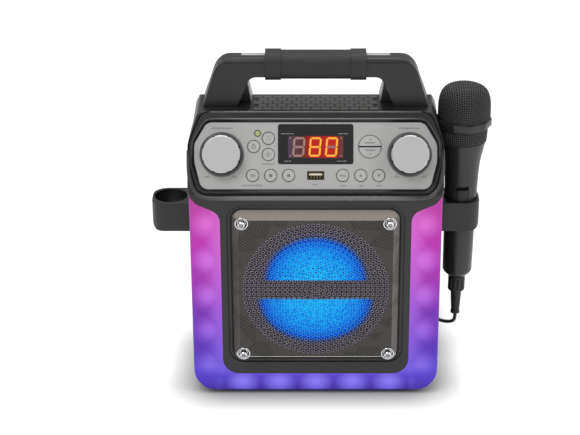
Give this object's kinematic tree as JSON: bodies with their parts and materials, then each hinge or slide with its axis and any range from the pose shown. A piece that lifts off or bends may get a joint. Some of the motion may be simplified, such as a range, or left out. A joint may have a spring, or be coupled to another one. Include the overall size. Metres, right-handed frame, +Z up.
{
  "type": "karaoke machine",
  "caption": "Portable karaoke speaker with sloped control console, perforated speaker cover, glowing U-shaped light frame, carrying handle, microphone rings and a corded microphone.",
  "frame": {"origin": "centre of the base, on the floor", "axes": "+X to the right seen from the front, +Y to the back, +Z up"},
  "size_m": [0.3108, 0.2141, 0.3203],
  "materials": {
    "housing": "satin",
    "light": "satin",
    "silver": "satin",
    "knob": "satin",
    "button": "satin",
    "smoke": "gloss",
    "window": "gloss",
    "display": "gloss",
    "lamp": "gloss",
    "steel": "polished",
    "screw": "polished",
    "board": "satin",
    "dark": "satin",
    "pot": "satin",
    "basket": "satin",
    "magnet": "rough",
    "cone": "rough",
    "rubber": "rough",
    "battery": "gloss",
    "grip": "satin",
    "mic_body": "satin",
    "mesh": "satin",
    "cord": "satin"
  },
  "bodies": {
    "body": {"front_housing": "housing", "rear_housing": "housing", "light_frame": "light", "light_strip": "board", "console_bezel": "housing", "console_panel": "silver", "display_window": "window", "display_module": "display", "indicator_lamp": "lamp", "usb_socket": "steel", "control_board": "board", "button_switches": "dark", "mic_volume_pot": "pot", "master_volume_pot": "pot", "speaker_cover": "smoke", "cover_screws": "screw", "light_bar": "dark", "woofer_basket": "basket", "woofer_surround": "rubber", "woofer_magnet": "magnet", "main_board": "board", "microphone_jacks": "dark", "aux_jack": "dark", "hdmi_socket": "steel", "power_inlet": "dark", "battery_pack": "battery", "case_screws": "screw", "feet": "rubber", "handle_front": "housing", "handle_rear": "housing", "handle_grip": "grip", "top_mat": "grip", "left_mic_holder": "housing", "right_mic_holder": "housing", "mic_plug": "dark", "mic_cord": "cord", "mic_cord_coil": "cord", "mic_cord_tail": "cord"},
    "cone": {"woofer_cone": "cone", "dust_cap": "cone"},
    "mic_volume_knob": {"mic_volume_knob": "knob"},
    "master_volume_knob": {"master_volume_knob": "knob"},
    "microphone": {"mic_handle": "mic_body", "mic_ring": "mesh", "mic_grille": "mesh", "mic_capsule": "pot", "mic_boot": "rubber"},
    "mic_switch": {"mic_switch": "dark"},
    "power_button": {"power_button": "button"},
    "pairing_button": {"pairing_button": "button"},
    "lights_button": {"lights_button": "button"},
    "voice_button": {"voice_button": "button"},
    "record_button": {"record_button": "button"},
    "stop_button": {"stop_button": "button"},
    "play_button": {"play_button": "button"},
    "up_button": {"up_button": "button"},
    "down_button": {"down_button": "button"},
    "folder_up_button": {"folder_up_button": "button"},
    "folder_down_button": {"folder_down_button": "button"}
  },
  "joints": [
    {"name": "cone_stroke", "type": "slide", "parent": "body", "child": "cone", "axis": [0, 1, 0], "range_m": [-0.002, 0.002], "stiffness_N_per_m": 1500},
    {"name": "mic_volume_turn", "type": "hinge", "parent": "body", "child": "mic_volume_knob", "pos_m": [-0.0834, -0.05119, 0.24001], "axis": [0, -0.9063, 0.4226], "range_deg": [-150, 150]},
    {"name": "master_volume_turn", "type": "hinge", "parent": "body", "child": "master_volume_knob", "pos_m": [0.0834, -0.05119, 0.24001], "axis": [0, -0.9063, 0.4226], "range_deg": [-150, 150]},
    {"name": "power_press", "type": "slide", "parent": "body", "child": "power_button", "axis": [0, 0.9063, -0.4226], "range_m": [0, 0.0008], "stiffness_N_per_m": 800},
    {"name": "pairing_press", "type": "slide", "parent": "body", "child": "pairing_button", "axis": [0, 0.9063, -0.4226], "range_m": [0, 0.0008], "stiffness_N_per_m": 800},
    {"name": "lights_press", "type": "slide", "parent": "body", "child": "lights_button", "axis": [0, 0.9063, -0.4226], "range_m": [0, 0.0008], "stiffness_N_per_m": 800},
    {"name": "voice_press", "type": "slide", "parent": "body", "child": "voice_button", "axis": [0, 0.9063, -0.4226], "range_m": [0, 0.0008], "stiffness_N_per_m": 800},
    {"name": "record_press", "type": "slide", "parent": "body", "child": "record_button", "axis": [0, 0.9063, -0.4226], "range_m": [0, 0.0008], "stiffness_N_per_m": 800},
    {"name": "stop_press", "type": "slide", "parent": "body", "child": "stop_button", "axis": [0, 0.9063, -0.4226], "range_m": [0, 0.0008], "stiffness_N_per_m": 800},
    {"name": "play_press", "type": "slide", "parent": "body", "child": "play_button", "axis": [0, 0.9063, -0.4226], "range_m": [0, 0.0008], "stiffness_N_per_m": 800},
    {"name": "up_press", "type": "slide", "parent": "body", "child": "up_button", "axis": [0, 0.9063, -0.4226], "range_m": [0, 0.0008], "stiffness_N_per_m": 800},
    {"name": "down_press", "type": "slide", "parent": "body", "child": "down_button", "axis": [0, 0.9063, -0.4226], "range_m": [0, 0.0008], "stiffness_N_per_m": 800},
    {"name": "folder_up_press", "type": "slide", "parent": "body", "child": "folder_up_button", "axis": [0, 0.9063, -0.4226], "range_m": [0, 0.0008], "stiffness_N_per_m": 800},
    {"name": "folder_down_press", "type": "slide", "parent": "body", "child": "folder_down_button", "axis": [0, 0.9063, -0.4226], "range_m": [0, 0.0008], "stiffness_N_per_m": 800},
    {"name": "microphone_lift", "type": "slide", "parent": "body", "child": "microphone", "axis": [0, 0, 1], "range_m": [0, 0.13], "deforming": ["mic_cord"]},
    {"name": "mic_switch_slide", "type": "slide", "parent": "microphone", "child": "mic_switch", "axis": [0.0087, 0, 1], "range_m": [0, 0.004]}
  ]
}
